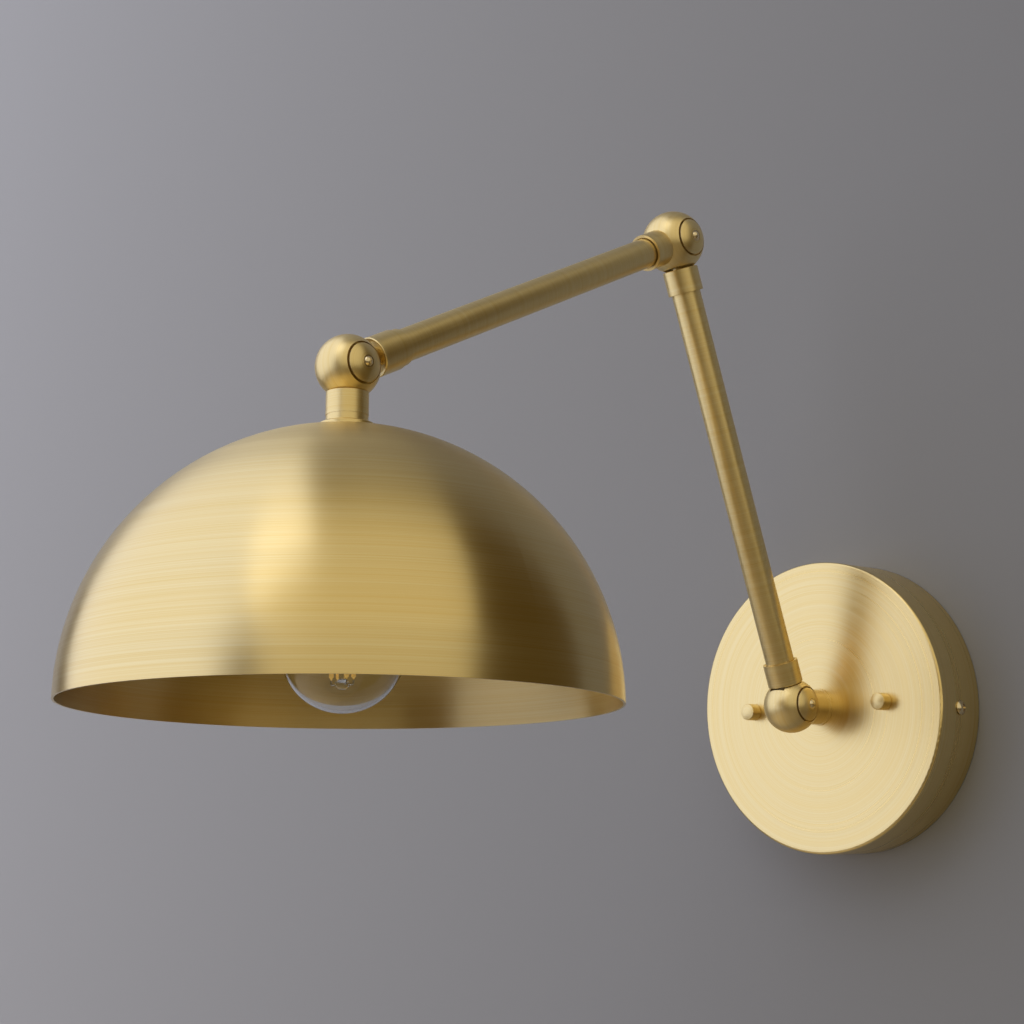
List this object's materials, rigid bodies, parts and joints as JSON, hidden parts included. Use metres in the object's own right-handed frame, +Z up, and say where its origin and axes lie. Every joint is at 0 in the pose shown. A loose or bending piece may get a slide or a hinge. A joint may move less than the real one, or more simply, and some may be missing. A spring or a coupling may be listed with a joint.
{
  "type": "folding-arm wall lamp",
  "caption": "Wall lamp with a round canopy, two folding tube arms joined by ball knuckles, and a half-ball metal shade over a clear globe bulb.",
  "frame": {"origin": "centre of the canopy in the wall plane, midway between the two wall-box slots", "axes": "+Y into the wall, +X to the right as seen from the room, +Z up; the lamp reaches out along -Y"},
  "size_m": [0.1934, 0.3924, 0.2698],
  "materials": {
    "canopy_brass": "satin, concentric brushed",
    "strap_steel": "zinc plated",
    "screw_steel": "plated",
    "turned_brass": "satin",
    "threaded_steel": "plated",
    "terminal_plastic": "matte",
    "wire_sleeve": "matte",
    "ground_green": "dyed",
    "bare_copper": "bare copper",
    "fibre": "matte",
    "tube_brass": "satin, brushed",
    "shade_brass": "satin, brushed round",
    "holder_plastic": "moulded",
    "ceramic": "glazed ceramic",
    "plated_shell": "plated",
    "black_glass": "gloss",
    "solder": "dull",
    "clear_glass": "clear",
    "filament_yellow": "phosphor"
  },
  "bodies": {
    "base": {"canopy": "canopy_brass", "mounting_strap": "strap_steel", "strap_studs": "screw_steel", "stud_lock_nuts": "screw_steel", "canopy_cap_nuts": "turned_brass", "canopy_side_screws": "screw_steel", "canopy_nipple": "threaded_steel", "canopy_lock_washer": "screw_steel", "canopy_hex_nut": "threaded_steel", "base_stem_washer": "turned_brass", "terminal_block": "terminal_plastic", "supply_leads": "wire_sleeve", "ground_screw": "ground_green", "ground_lead": "bare_copper", "base_knuckle_ball": "turned_brass", "base_friction_washer": "fibre", "base_pivot_screw": "screw_steel", "base_screw_washer": "screw_steel"},
    "lower_arm": {"base_pivot_drum": "turned_brass", "lower_arm_base_collar": "turned_brass", "lower_arm_tube": "tube_brass", "lower_arm_wires": "wire_sleeve", "lower_arm_elbow_collar": "turned_brass", "elbow_pivot_drum": "turned_brass"},
    "upper_arm": {"elbow_knuckle_ball": "turned_brass", "elbow_friction_washer": "fibre", "elbow_pivot_screw": "screw_steel", "elbow_screw_washer": "screw_steel", "upper_arm_tube": "tube_brass", "upper_arm_wires": "wire_sleeve", "upper_arm_shade_collar": "turned_brass", "shade_pivot_drum": "turned_brass"},
    "shade": {"shade_knuckle_ball": "turned_brass", "shade_friction_washer": "fibre", "shade_pivot_screw": "screw_steel", "shade_screw_washer": "screw_steel", "stem_spacer": "turned_brass", "stem_ring": "turned_brass", "shade_flange_washer": "turned_brass", "shade_dome": "shade_brass", "shade_lock_washer": "screw_steel", "shade_hex_nut": "threaded_steel", "shade_nipple": "threaded_steel", "shade_wires": "wire_sleeve", "lamp_holder_cap": "holder_plastic", "lamp_holder_core": "ceramic", "lamp_holder_shell": "plated_shell", "lamp_holder_contact": "plated_shell", "bulb_cap": "plated_shell", "bulb_cap_insulator": "black_glass", "bulb_contact": "solder", "bulb_glass": "clear_glass", "bulb_stem": "clear_glass", "bulb_filaments": "filament_yellow", "bulb_filament_supports": "screw_steel"}
  },
  "joints": [
    {"name": "base_pivot", "type": "hinge", "parent": "base", "child": "lower_arm", "pos_m": [0, -0.0465, 0], "axis": [1, 0, 0], "range_deg": [-15, 18]},
    {"name": "elbow_pivot", "type": "hinge", "parent": "lower_arm", "child": "upper_arm", "pos_m": [0, -0.11288, 0.19332], "axis": [1, 0, 0], "range_deg": [-90, 12]},
    {"name": "shade_pivot", "type": "hinge", "parent": "upper_arm", "child": "shade", "pos_m": [0, -0.2918, 0.11065], "axis": [1, 0, 0], "range_deg": [-25, 40]}
  ]
}
